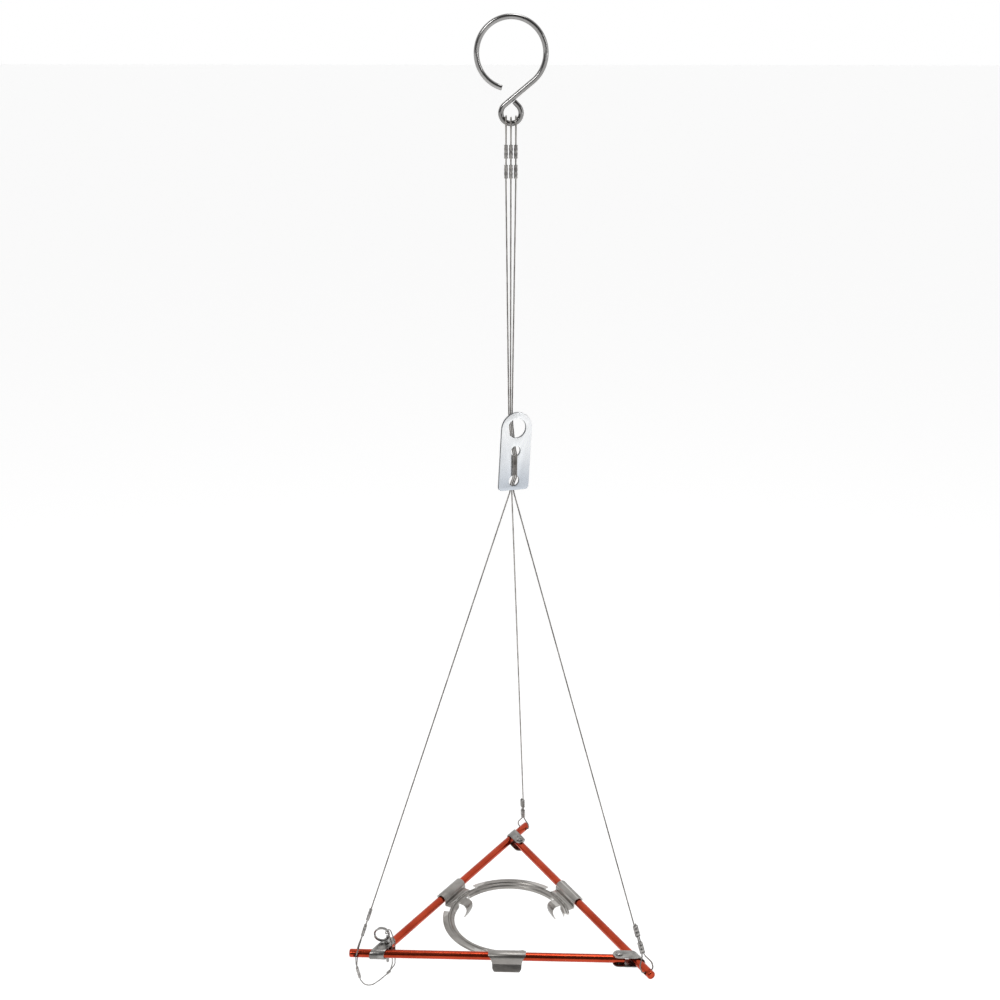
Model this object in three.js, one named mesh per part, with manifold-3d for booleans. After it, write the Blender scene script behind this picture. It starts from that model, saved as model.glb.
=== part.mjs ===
import * as THREE from 'three';
import { mergeVertices } from 'three/addons/utils/BufferGeometryUtils.js';
import Module from 'manifold-3d';

// Suspension kit: a sprung cradle on a triangle of three rods, hung by three wire ropes from an open ring hook.
// Millimetres, +Z up. The origin is the inside top of the hook's ring, where it hangs on what carries it.

// hook
const WIRE_D = 3.5;
const RING_R = 21.55;              // centreline radius of the open ring
const EYE_R = 6.36;                // centreline radius of the rope eye
const EYE_DROP = 36.0;             // ring centre to eye centre
const RING_END_DEG = 255;          // the free end of the ring
// frame
const FRAME_Z = -641;              // plane of the three rod axes
const SIDE = 184;                  // between rod axis crossings
const ROD_D = 6;
const ROD_OVERHANG = 22;           // past the crossing, to the rope hole's end
const ROPE_HOLE = 17;              // crossing to rope hole
const ROPE_HOLE_R = 1.3;
const PIVOT = 11.5;                // crossing to rivet
const ROD_SHORT = 7.3;             // crossing to the riveted end
const PIN_AT = 9.0;                // crossing to release pin
const PIN_END_SHORT = 6.2;         // crossing to the released end
// corner straps
const STRAP_T = 0.8;
const STRAP_IN_R = 3.3;
const STRAP_W = 8.8;
const RIVET_R = 1.5;
const PIN_R = 1.2;
// cradle
const RING_OUT = 50.0;
const RING_IN = 41.4;
const CLIP_LEN = 27;
const CLIP_R = 3.8;
const SHEET = 0.8;
// ropes
const ROPE_D = 1.0;
const CORD_D = 0.8;
const STRAND = 0.65;               // half the spacing of the two strands in a ferrule
const FERRULE_L = 8.5;
const UPPER_X = 3.1;               // spacing of the ropes at the hook
// adjuster
const PLATE_W = 22.7;
const PLATE_H = 54.4;
const PLATE_T = 1.6;
const PLATE_YAW = 28;              // degrees
const PLATE_LEAN = 3.5;            // degrees
const PLATE_AT = [3.4, 0, -277.0];
const HOLE_BIG = [16.2, 6.75];     // height above the plate's centre, radius
const HOLE_MID = [0.3, 3.5];
const HOLE_LOW = [-20.5, 3.85];

const wasm = await Module();
wasm.setup();
const rad = THREE.MathUtils.degToRad;
const V = (x, y, z) => new THREE.Vector3(x, y, z);

function merged(geometry) {
  const g = geometry.clone();
  for (const name of Object.keys(g.attributes)) if (name !== 'position') g.deleteAttribute(name);
  return mergeVertices(g, 1e-4);
}
function solid(geometry) {
  const g = merged(geometry);
  return new wasm.Manifold(new wasm.Mesh({
    numProp: 3,
    vertProperties: new Float32Array(g.attributes.position.array),
    triVerts: new Uint32Array(g.index.array),
  }));
}
function geometryOf(manifold) {
  const m = manifold.getMesh();
  const g = new THREE.BufferGeometry();
  g.setAttribute('position', new THREE.BufferAttribute(new Float32Array(m.vertProperties), 3));
  g.setIndex(new THREE.BufferAttribute(new Uint32Array(m.triVerts), 1));
  return g;
}
const moved = (geometry, matrix) => geometry.clone().applyMatrix4(matrix);
// columns: the directions that local x, y and z take, and the place of the local origin
function frameOf(x, y, z, at) {
  return new THREE.Matrix4().makeBasis(x, y, z).setPosition(at);
}
const UP = V(0, 0, 1);

function outline(points, holes = []) {
  const s = new THREE.Shape(points.map((p) => new THREE.Vector2(p[0], p[1])));
  for (const h of holes) s.holes.push(new THREE.Path(h.map((p) => new THREE.Vector2(p[0], p[1]))));
  return s;
}
function prism(shape, from, to, curveSegments = 12) {
  const g = new THREE.ExtrudeGeometry(shape, { depth: to - from, bevelEnabled: false, steps: 1, curveSegments });
  g.translate(0, 0, from);
  return g;
}
const ringPoints = (cx, cy, r, n, from = 0) => Array.from({ length: n }, (_, i) => {
  const a = from + (i / n) * 2 * Math.PI;
  return [cx + r * Math.cos(a), cy + r * Math.sin(a)];
});
const arcPoints = (cx, cy, r, a0, a1, n) => Array.from({ length: n + 1 }, (_, i) => {
  const a = rad(a0 + ((a1 - a0) * i) / n);
  return [cx + r * Math.cos(a), cy + r * Math.sin(a)];
});
const stadium = (halfW, halfT, n = 8) => {
  const c = halfW - halfT;
  return [...arcPoints(c, 0, halfT, -90, 90, n), ...arcPoints(-c, 0, halfT, 90, 270, n)];
};

// a route through points that carry a bend radius, as one polyline
function filleted(points, stepDeg = 18) {
  const P = points.map((p) => V(p[0], p[1], p[2]));
  const out = [P[0].clone()];
  for (let i = 1; i < P.length - 1; i++) {
    const a = P[i - 1].clone().sub(P[i]).normalize();
    const b = P[i + 1].clone().sub(P[i]).normalize();
    const turn = Math.PI - a.angleTo(b);
    if (turn < 0.004) { out.push(P[i].clone()); continue; }
    let r = points[i][3] || 3;
    const room = 0.499 * Math.min(P[i - 1].distanceTo(P[i]), P[i + 1].distanceTo(P[i]));
    const cut = Math.min(r * Math.tan(turn / 2), room);
    r = cut / Math.tan(turn / 2);
    const mid = a.clone().add(b).normalize();
    const centre = P[i].clone().addScaledVector(mid, r / Math.cos(turn / 2));
    const n = Math.max(1, Math.ceil((turn * 180) / Math.PI / stepDeg));
    const u = P[i].clone().addScaledVector(a, cut).sub(centre);
    const w = P[i].clone().addScaledVector(b, cut).sub(centre);
    for (let k = 0; k <= n; k++) {
      const t = k / n, s = Math.sin(turn);
      out.push(centre.clone().addScaledVector(u, Math.sin((1 - t) * turn) / s).addScaledVector(w, Math.sin(t * turn) / s));
    }
  }
  out.push(P[P.length - 1].clone());
  return out.filter((p, i) => i === 0 || p.distanceTo(out[i - 1]) > 0.02);
}
class Route extends THREE.Curve {
  constructor(points) { super(); this.points = points; }
  getPoint(t) {
    const n = this.points.length - 1, f = Math.min(Math.max(t, 0), 1) * n, i = Math.min(Math.floor(f), n - 1);
    return this.points[i].clone().lerp(this.points[i + 1], f - i);
  }
  getPointAt(u) { return this.getPoint(u); }
  getSpacedPoints(n) { return Array.from({ length: n + 1 }, (_, i) => this.getPoint(i / n)); }
  getTangentAt(u) {
    const n = this.points.length - 1, i = Math.round(u * n);
    const a = this.points[Math.max(i - 1, 0)], b = this.points[i], c = this.points[Math.min(i + 1, n)];
    const s = V(0, 0, 0);
    if (i > 0) s.add(b.clone().sub(a).normalize());
    if (i < n) s.add(c.clone().sub(b).normalize());
    return s.normalize();
  }
}
function tube(points, r, sides) {
  return new THREE.ExtrudeGeometry(outline(ringPoints(0, 0, r, sides)), {
    steps: points.length - 1, bevelEnabled: false, extrudePath: new Route(points),
  });
}
// a body of revolution about local z, as a profile of [radius, height]
function turned(profile, segments = 24) {
  const g = new THREE.LatheGeometry(profile.map((p) => new THREE.Vector2(p[0], p[1])), segments);
  g.rotateX(Math.PI / 2);
  return g;
}

const kit = new THREE.Group();
const steel = (colour, roughness) => new THREE.MeshStandardMaterial({ color: colour, roughness, metalness: 1 });
function add(name, geometry, material) {
  const mesh = new THREE.Mesh(geometry, material);
  mesh.name = name;
  kit.add(mesh);
}

// ---------------------------------------------------------------- hook
const ringZ = -(RING_R - WIRE_D / 2);
const eyeZ = ringZ - EYE_DROP;
{
  // the tangent from the ring to the eye, which crosses between them
  const reach = Math.acos((RING_R + EYE_R) / EYE_DROP);
  const leave = -90 + THREE.MathUtils.radToDeg(reach);
  const meet = 90 + THREE.MathUtils.radToDeg(reach);
  const pts = [];
  const arc = (cx, cz, r, a0, a1, n) => arcPoints(cx, cz, r, a0, a1, n).forEach((p) => pts.push(V(p[0], 0, p[1])));
  arc(0, ringZ, RING_R, RING_END_DEG, leave, 52);
  arc(0, eyeZ, EYE_R, meet, 405, 26);
  const last = pts[pts.length - 1];
  const t = V(Math.cos(rad(leave)), 0, Math.sin(rad(leave))).multiplyScalar(RING_R).add(V(0, 0, ringZ));
  const along = V(Math.cos(rad(meet)), 0, Math.sin(rad(meet))).multiplyScalar(EYE_R).add(V(0, 0, eyeZ)).sub(t).normalize();
  const normal = V(-along.z, 0, along.x);
  const off = Math.abs(last.clone().sub(t).dot(normal));
  const heading = V(-Math.SQRT1_2, 0, Math.SQRT1_2);
  const closing = Math.abs(heading.dot(normal));
  pts.push(last.clone().addScaledVector(heading, (off - WIRE_D / 2 - 0.35) / closing));
  add('hook', tube(pts, WIRE_D / 2, 14), steel(0xb9b7b4, 0.2));
}

// ---------------------------------------------------------------- frame
const h = (SIDE * Math.sqrt(3)) / 2;
const CORNER = {
  left: V(-SIDE / 2, -h / 3, FRAME_Z), right: V(SIDE / 2, -h / 3, FRAME_Z), back: V(0, (2 * h) / 3, FRAME_Z),
};
// each rod runs from its free end past one corner to its held end short of the next
const RODS = {
  front_rod: { free: 'left', held: 'right', short: ROD_SHORT },
  right_rod: { free: 'right', held: 'back', short: ROD_SHORT },
  left_rod: { free: 'back', held: 'left', short: PIN_END_SHORT },
};
const RED = new THREE.MeshStandardMaterial({ color: 0xb8401f, roughness: 0.38, metalness: 0.85 });
function direction(rod) {
  return CORNER[RODS[rod].held].clone().sub(CORNER[RODS[rod].free]).normalize();
}
for (const [name, r] of Object.entries(RODS)) {
  const d = direction(name);
  const side = V(-d.y, d.x, 0);
  const start = CORNER[r.free].clone().addScaledVector(d, -ROD_OVERHANG);
  const length = ROD_OVERHANG + SIDE - r.short;
  const R = ROD_D / 2, f = 1.1, c = 0.4;
  const profile = [[0, 0], [R - f, 0], [R - 0.32 * f, 0.32 * f], [R, f], [R, length - c], [R - c, length], [0, length]];
  let body = solid(moved(turned(profile, 28), frameOf(side, UP, d.clone(), start)));
  const hole = start.clone().addScaledVector(d, ROD_OVERHANG - ROPE_HOLE);
  body = body.subtract(solid(moved(prism(outline(ringPoints(0, 0, ROPE_HOLE_R, 16)), -6, 6), frameOf(d.clone(), UP.clone().negate(), side.clone(), hole))));
  if (name !== 'left_rod') {
    const at = CORNER[r.held].clone().addScaledVector(d, -PIVOT);
    body = body.subtract(solid(moved(prism(outline(ringPoints(0, 0, RIVET_R + 0.2, 20)), -6, 6), new THREE.Matrix4().setPosition(at))));
  } else {
    // the released end is notched on its inner side, so that it clears the pin as either rod swings out
    const at = CORNER[r.held].clone().addScaledVector(d, -PIN_AT);
    const inner = V(-d.y, d.x, 0);
    const w = PIN_R + 0.4;
    const notch = outline([[-w, 5], [-w, 0], ...arcPoints(0, 0, w, 195, 285, 6), [w * 0.5, -w * 0.866], [w * 0.5 + 5.2, -w * 0.866 + 3], [7, 5]]);
    body = body.subtract(solid(moved(prism(notch, -6, 6), frameOf(d.clone(), inner, UP, at))));
  }
  add(name, geometryOf(body), RED);
}

// corner straps: sheet wrapped round one rod, its two plates holding the next rod's end
const STRAPS = {
  right_strap: { corner: 'right', wrapped: 'right_rod', held: 'front_rod', at: PIVOT, hole: RIVET_R + 0.2 },
  back_strap: { corner: 'back', wrapped: 'left_rod', held: 'right_rod', at: PIVOT, hole: RIVET_R + 0.2 },
  left_strap: { corner: 'left', wrapped: 'front_rod', held: 'left_rod', at: PIN_AT, hole: PIN_R + 0.35 },
};
for (const [name, s] of Object.entries(STRAPS)) {
  const corner = CORNER[s.corner];
  const u = direction(s.wrapped);
  const v = direction(s.held).negate();           // from the corner towards the pivot
  const n = V(-u.y, u.x, 0);
  if (n.dot(v) < 0) n.negate();
  const ro = STRAP_IN_R + STRAP_T, ri = STRAP_IN_R, far = 24;
  const profile = outline([
    [far, ro], ...arcPoints(0, 0, ro, 90, 270, 12), [far, -ro], [far, -ri], ...arcPoints(0, 0, ri, 270, 90, 12), [far, ri],
  ]);
  const x = n, y = UP, z = n.clone().cross(UP);
  let body = solid(moved(prism(profile, -22, 22), frameOf(x, y, z, corner)));
  const w = STRAP_W / 2;
  const plan = outline([[-14, -w], ...arcPoints(PIVOT, 0, w, -90, 90, 10), [-14, w]]);
  const vy = UP.clone().cross(v);
  body = body.intersect(solid(moved(prism(plan, -8, 8), frameOf(v, vy, UP, corner))));
  const at = corner.clone().addScaledVector(v, s.at);
  body = body.subtract(solid(moved(prism(outline(ringPoints(0, 0, s.hole, 20)), -8, 8), new THREE.Matrix4().setPosition(at))));
  add(name, geometryOf(body), steel(0x9a9a98, 0.32));
}
const strapTop = STRAP_IN_R + STRAP_T;
for (const [name, rod] of [['right_rivet', 'front_rod'], ['back_rivet', 'right_rod']]) {
  const at = CORNER[RODS[rod].held].clone().addScaledVector(direction(rod), -PIVOT);
  const z0 = strapTop + 0.12, r = 2.6;
  const profile = [[0, -z0 - 1.1], [1.2, -z0 - 1.0], [2.1, -z0 - 0.65], [r, -z0], [RIVET_R, -z0], [RIVET_R, z0], [r, z0], [2.1, z0 + 0.65], [1.2, z0 + 1.0], [0, z0 + 1.1]];
  const g = turned(profile, 20);
  g.translate(at.x, at.y, at.z);
  add(name, g, steel(0x8f8f8c, 0.35));
}

// ---------------------------------------------------------------- release pin and its split ring
const PIN = CORNER.left.clone().addScaledVector(direction('left_rod'), -PIN_AT);
const EYELET = 7.2;                  // height of the pin's eyelet over the rod axes
const LUG_R = 2.9;
{
  const profile = [[0, -13], [0.6, -13], [PIN_R, -11.8], [PIN_R, 4.4], [1.9, 4.4], [1.9, 5.0], [0, 5.0]];
  const g = turned(profile, 20);
  g.translate(PIN.x, PIN.y, PIN.z);
  const lug = outline([[-1.6, 4.8], [1.6, 4.8], ...arcPoints(0, EYELET, LUG_R, -25, 205, 14)], [ringPoints(0, EYELET, 1.7, 16)]);
  const turn = frameOf(V(0, 1, 0), UP, V(1, 0, 0), PIN);
  add('release_pin', geometryOf(solid(g).add(solid(moved(prism(lug, -0.4, 0.4), turn)))), steel(0x8d8d8a, 0.3));
}
const SPLIT_R = 5.2, SPLIT_TILT = 45, LOOP_AT = 30;
const eyelet = PIN.clone().add(V(0, 0, EYELET));
const splitAt = eyelet.clone().add(V(-Math.sin(rad(SPLIT_TILT)) * SPLIT_R, 0, Math.cos(rad(SPLIT_TILT)) * SPLIT_R));
{
  const w = 0.65, t = 0.75;
  const g = turned([[SPLIT_R - w, -t], [SPLIT_R + w, -t], [SPLIT_R + w, t], [SPLIT_R - w, t], [SPLIT_R - w, -t]], 36);
  add('split_ring', moved(g, frameOf(V(1, 0, 0), V(0, 0, 1), V(0, -1, 0), splitAt)), steel(0x868684, 0.3));
}

// ---------------------------------------------------------------- cradle
const GREY = steel(0x979389, 0.36);
{
  const z = FRAME_Z;
  const section = [
    [50, -3], [50, -4.3], [49.2, -4.3], [49.2, -3.8], [46.6, -3.8], [45.9, -4.8], [44.0, -4.8], [43.4, -4.0], [42.7, -4.0],
    [42.2, -4.5], [42.2, -6.5], [41.4, -6.5], [41.4, -4.1], [42.3, -3.2], [43.8, -3.2], [44.4, -4.0], [45.4, -4.0], [46.2, -3.0],
  ];
  section.push(section[0]);
  let body = solid(turned(section.reverse(), 90));
  const sector = (r0, r1, a0, a1, z0, z1) => {
    const n = Math.max(3, Math.ceil(Math.abs(a1 - a0) / 5));
    return solid(prism(outline([...arcPoints(0, 0, r1, a0, a1, n), ...arcPoints(0, 0, r0, a1, a0, n)]), z0, z1));
  };
  body = body.subtract(sector(30, 60, 286, 368, -12, 3));
  for (const a of [30, 150, 270]) {
    body = body.subtract(sector(46.0, 60, a - 24, a + 24, -12, 3));
    // the collar is cut away where the finger leaves the ring
    body = body.subtract(sector(39, 42.35, a - 9, a + 9, -12, -3.9));
  }
  const g = geometryOf(body);
  g.translate(0, 0, z);
  add('cradle_ring', g, GREY);
}
for (const [name, angle] of [['front', 270], ['left', 150], ['right', 30]]) {
  const s = V(Math.cos(rad(angle)), Math.sin(rad(angle)), 0);
  const t = V(-s.y, s.x, 0);
  // local x outwards, local y up, local z along the rod
  const place = frameOf(s, UP, s.clone().cross(UP), V(0, 0, FRAME_Z));
  const front = frameOf(t, UP, t.clone().cross(UP), V(0, 0, FRAME_Z)); // local x along the rod, local z outwards
  const axis = h / 3, drop = -0.5, ri = CLIP_R, ro = CLIP_R + SHEET;
  const arch = outline([
    [43, -3.0], [axis - ro - 0.6, -3.0], [axis - ro, -2.4], ...arcPoints(axis, drop, ro, 180, 0, 12),
    [axis + ro, -3.5], [axis + ro + 2.4, -8.6], [axis + ro + 1.65, -8.9], [axis + ri, -3.7],
    ...arcPoints(axis, drop, ri, 0, 180, 10), [axis - ri, -3.2], [axis - ri - 0.7, -3.8], [43, -3.8],
  ]);
  let body = solid(moved(prism(arch, -CLIP_LEN / 2, CLIP_LEN / 2), place));
  // the outer wall narrows to the thumb tab
  const cut = (sign) => outline([[sign * 13.7, 3.0], [sign * 11.6, 0.4], [sign * 10.7, -2.6], [sign * 10.4, -6.4], [sign * 9.4, -8.2], [sign * 7.4, -9.2], [sign * 7.4, -12], [sign * 20, -12], [sign * 20, 3.0]]);
  for (const sign of [1, -1]) {
    const points = cut(sign);
    const g = prism(points, axis, 70);
    body = body.subtract(solid(moved(g, front)));
  }
  const bore = prism(outline(ringPoints(0, 0, 46.3, 90)), -12, 3);
  bore.translate(0, 0, FRAME_Z);
  body = body.subtract(solid(bore));
  add(`${name}_clip`, geometryOf(body), GREY);

  // finger: a tapering strip that curls down and back under the ring
  const line = name === 'front'
    ? [[41.95, -5.9], [40.6, -6.2], [38.6, -6.4], [36.9, -7.2], [36.0, -8.8], [35.9, -10.6], [36.4, -12.4], [37.8, -14.9], [39.4, -17.2]]
    : [[41.95, -5.0], [40.2, -4.4], [38.4, -4.5], [36.8, -5.5], [35.9, -7.2], [35.8, -9.2], [36.4, -11.4], [37.8, -14.2], [39.4, -16.9]];
  const side = (k) => line.map((p, i) => {
    const a = line[Math.max(i - 1, 0)], b = line[Math.min(i + 1, line.length - 1)];
    const dx = b[0] - a[0], dy = b[1] - a[1], l = Math.hypot(dx, dy);
    return [p[0] - (dy / l) * k, p[1] + (dx / l) * k];
  });
  const strip = outline([...side(SHEET / 2), ...side(-SHEET / 2).reverse()]);
  const taper = outline([[-4.2, 0], [-4.2, -6], [-3.4, -10], [-1.9, -18], [1.9, -18], [3.4, -10], [4.2, -6], [4.2, 0]]);
  const finger = solid(moved(prism(strip, -6, 6), place)).intersect(solid(moved(prism(taper, 0, 60), front)));
  add(`${name}_finger`, geometryOf(finger), GREY);
}

// ---------------------------------------------------------------- adjuster plate
const ta = V(Math.cos(rad(PLATE_YAW)), Math.sin(rad(PLATE_YAW)), 0);
const ea = ta.clone().multiplyScalar(Math.cos(rad(PLATE_LEAN))).addScaledVector(UP, -Math.sin(rad(PLATE_LEAN)));
const eb = ta.clone().multiplyScalar(Math.sin(rad(PLATE_LEAN))).addScaledVector(UP, Math.cos(rad(PLATE_LEAN)));
const ec = ea.clone().cross(eb);
const plateFrame = frameOf(ea, eb, ec, V(...PLATE_AT));
{
  const w = PLATE_W / 2, b = -PLATE_H / 2, t = PLATE_H / 2 - w, r = 2.6;
  const shape = outline(
    [...arcPoints(-w + r, b + r, r, 180, 270, 4), ...arcPoints(w - r, b + r, r, 270, 360, 4), ...arcPoints(0, t, w, 0, 180, 20)],
    [HOLE_BIG, HOLE_MID, HOLE_LOW].map(([y, q]) => ringPoints(0, y, q, 24)),
  );
  add('adjuster_plate', moved(prism(shape, -PLATE_T / 2, PLATE_T / 2), plateFrame),
    new THREE.MeshStandardMaterial({ color: 0xd9dde2, roughness: 0.3, metalness: 0.9 }));
}

// ---------------------------------------------------------------- ropes and ferrules
const ROPE = steel(0x8b8580, 0.35);
const FERRULE = steel(0xb0aca6, 0.3);
function ferrule(name, from, axis, wide, length, halfW, halfT, bore) {
  const z = axis.clone().normalize();
  const x = wide.clone().addScaledVector(z, -wide.dot(z)).normalize();
  const y = z.clone().cross(x);
  const shape = outline(stadium(halfW, halfT), [stadium(halfW - bore, halfT - bore)]);
  add(name, moved(prism(shape, 0, length), frameOf(x, y, z, from)), FERRULE);
}
const plate = (a, b, c) => V(a, b, c).applyMatrix4(plateFrame);
const list = (v, r) => [v.x, v.y, v.z, r];
const F1_TOP = -75.2, F2_TOP = F1_TOP - FERRULE_L - 3.9, F2_BOTTOM = F2_TOP - FERRULE_L;
const BACK = PLATE_T / 2 + ROPE_D / 2 + 0.3, CROSS = BACK / Math.tan(rad(32));
const LOW2 = 14.5, LOW1 = LOW2 + FERRULE_L + 4.2, LOW_TOP = LOW1 + FERRULE_L;
for (const [name, k, rod] of [['left', -1, 'front_rod'], ['back', 0, 'left_rod'], ['right', 1, 'right_rod']]) {
  const x = k * UPPER_X;
  const zc = eyeZ - Math.sqrt(EYE_R * EYE_R - x * x);
  const loop = 3.7;
  const d = direction(rod);
  const hole = CORNER[RODS[rod].free].clone().addScaledVector(d, -ROPE_HOLE);
  let across = V(-d.y, d.x, 0);
  if (across.y > 0) across.negate();               // the loaded strand passes on the side nearer the front
  const exit = plate(1.3 * k, -28.8, -BACK);
  const rope = exit.clone().sub(hole).normalize();
  const low = (a, b, r) => list(hole.clone().addScaledVector(across, a).addScaledVector(rope, b), r);
  const mid = -0.8 + 1.2 * k, bottom = 1.3 * k;
  const points = [
    [x, -STRAND, F2_BOTTOM - 1.0], [x, -STRAND, F1_TOP + 1.5, 8], [x, -loop, zc - 2.5, 6], [x, -loop, zc + loop, loop],
    [x, loop, zc + loop, loop], [x, loop, zc - 2.5, 6], [x, STRAND, F1_TOP + 1.5, 8], [x, STRAND, F2_BOTTOM - 6, 40],
    list(plate(-4.3 + 1.2 * k, 23, -BACK), 60),
    list(plate(mid, HOLE_MID[0] + CROSS, -BACK), 3), list(plate(mid, HOLE_MID[0] - CROSS, BACK), 3),
    list(plate(bottom, HOLE_LOW[0] + CROSS, BACK), 3), list(plate(bottom, HOLE_LOW[0] - CROSS, -BACK), 3),
    list(exit, 8),
    low(STRAND, LOW_TOP + 6, 60), low(STRAND, LOW2 - 1.5, 8), low(5.0, 6.2, 5), low(5.0, 0.5, 2.4), low(-5.0, 0.5, 2.4), low(-5.0, 6.2, 5),
    low(-STRAND, LOW2 - 1.5, 8), low(-STRAND, LOW_TOP + 1.2),
  ];
  add(`rope_${name}`, tube(filleted(points), ROPE_D / 2, 8), ROPE);
  const Y = V(0, 1, 0);
  ferrule(`ferrule_${name}_upper_a`, V(x, 0, F1_TOP - FERRULE_L), UP, Y, FERRULE_L, 1.9, 1.25, 0.45);
  ferrule(`ferrule_${name}_upper_b`, V(x, 0, F2_BOTTOM), UP, Y, FERRULE_L, 1.9, 1.25, 0.45);
  ferrule(`ferrule_${name}_lower_a`, hole.clone().addScaledVector(rope, LOW1), rope, across, FERRULE_L, 1.9, 1.25, 0.45);
  ferrule(`ferrule_${name}_lower_b`, hole.clone().addScaledVector(rope, LOW2), rope, across, FERRULE_L, 1.9, 1.25, 0.45);
}

// lanyard from the front rod's rope hole to the split ring
{
  const hole = CORNER.left.clone().add(V(-ROPE_HOLE, 0, 0));
  const at = (dx, dy, dz, r) => [hole.x + dx, hole.y + dy, FRAME_Z + dz, r];
  const f0 = [0, 0, -12.3], f1 = [1.9, 0, -20.6], g = 0.55;
  const c0 = splitAt.clone().add(V(Math.cos(rad(LOOP_AT)) * SPLIT_R, 0, Math.sin(rad(LOOP_AT)) * SPLIT_R));
  const out = V(Math.cos(rad(LOOP_AT)), 0, Math.sin(rad(LOOP_AT)));
  const q = 1.95;
  const round = (y, o, r) => list(c0.clone().add(V(0, y, 0)).addScaledVector(out, o), r);
  const cr0 = V(-87.6, -49.6, FRAME_Z - 19.6), cr1 = V(-85.3, -49.3, FRAME_Z - 17.3);
  const crAxis = cr1.clone().sub(cr0).normalize();
  const crSide = V(0, 1, 0).addScaledVector(crAxis, -crAxis.y).normalize();
  const crimp = (p, k, r) => list(p.clone().addScaledVector(crSide, k * 0.5), r);
  const points = [
    at(f1[0] + 0.25, g, f1[2] - 1.0), at(f0[0] - 0.2, g, f0[2] + 0.9, 5), at(0, 3.9, -6.5, 4), at(0, 3.9, -0.65, 1.9), at(0, -3.9, -0.65, 1.9), at(0, -3.9, -6.5, 4),
    at(f0[0] - 0.2, -g, f0[2] + 0.9, 5), at(f1[0] + 0.5, -g, f1[2] - 2.2, 7),
    [-103.6, -52.9, FRAME_Z - 27.6, 7], [-98.4, -51.6, FRAME_Z - 28.4, 9], [-93.0, -50.6, FRAME_Z - 24.6, 10],
    crimp(cr0, -1, 4), crimp(cr1, -1, 3), [-83.6, -49.2, FRAME_Z - 11, 5], [-83.6, -49.2, FRAME_Z + 6.0, 3],
    round(-q, 0.6, 3), round(-q, -q, 1.8), round(q, -q, 1.8), round(q, 1.6, 3), [-81.4, -48.2, FRAME_Z + 6.4, 3],
    [-81.4, -49.2, FRAME_Z + 1, 8], [-81.6, -49.2, FRAME_Z - 11.5, 5], crimp(cr1, 1, 3), crimp(cr0.clone().addScaledVector(crAxis, -0.4), 1),
  ];
  add('lanyard', tube(filleted(points), CORD_D / 2, 8), ROPE);
  const axis = V(f1[0] - f0[0], 0, f1[2] - f0[2]).normalize();
  ferrule('lanyard_ferrule', V(hole.x + f0[0], hole.y, FRAME_Z + f0[2]), axis, V(0, 1, 0), FERRULE_L, 1.6, 1.05, 0.4);
  ferrule('lanyard_crimp', cr0.clone().addScaledVector(crAxis, 0.2), crAxis, crSide, 2.8, 1.5, 1.0, 0.35);
}

export default kit;
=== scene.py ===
import math
import random
import bpy
import bmesh
from mathutils import Vector, Matrix


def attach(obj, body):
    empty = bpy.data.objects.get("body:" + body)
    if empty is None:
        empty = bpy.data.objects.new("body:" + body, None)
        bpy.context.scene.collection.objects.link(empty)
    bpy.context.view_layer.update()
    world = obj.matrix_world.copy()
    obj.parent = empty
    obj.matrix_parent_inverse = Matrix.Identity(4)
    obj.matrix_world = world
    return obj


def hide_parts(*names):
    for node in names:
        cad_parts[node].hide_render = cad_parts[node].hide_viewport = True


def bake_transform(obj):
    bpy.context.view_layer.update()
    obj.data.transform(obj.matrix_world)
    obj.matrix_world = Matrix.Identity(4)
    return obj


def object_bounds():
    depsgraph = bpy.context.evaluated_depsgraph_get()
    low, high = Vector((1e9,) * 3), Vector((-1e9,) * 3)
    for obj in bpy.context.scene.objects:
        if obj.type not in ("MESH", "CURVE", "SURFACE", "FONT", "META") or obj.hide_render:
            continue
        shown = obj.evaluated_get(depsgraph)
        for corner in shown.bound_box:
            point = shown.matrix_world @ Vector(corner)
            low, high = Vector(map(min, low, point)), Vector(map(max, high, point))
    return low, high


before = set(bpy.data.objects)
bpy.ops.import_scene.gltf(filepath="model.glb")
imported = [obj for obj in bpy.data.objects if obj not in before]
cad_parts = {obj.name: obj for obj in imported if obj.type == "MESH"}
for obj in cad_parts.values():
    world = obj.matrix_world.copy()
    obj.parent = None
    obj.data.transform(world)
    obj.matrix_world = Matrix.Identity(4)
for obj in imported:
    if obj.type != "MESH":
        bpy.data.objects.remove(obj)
SIZE0 = [list(map(float, v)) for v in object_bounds()]
random.seed(7)

# ------------------------------------------------------------------ camera
MM = 0.001
cam_data = bpy.data.cameras.new("camera")
cam_data.lens = 52.2
cam_data.sensor_width = 36
cam_data.sensor_fit = "HORIZONTAL"
cam_data.clip_start = 0.01
cam_data.clip_end = 50
cam = bpy.data.objects.new("camera", cam_data)
bpy.context.scene.collection.objects.link(cam)
cam.location = Vector((25.6, -938.7, 4.2)) * MM
cam.rotation_mode = "QUATERNION"
cam.rotation_quaternion = Vector((-0.03279, 0.94721, -0.31893)).to_track_quat("-Z", "Y")
bpy.context.scene.camera = cam

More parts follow.
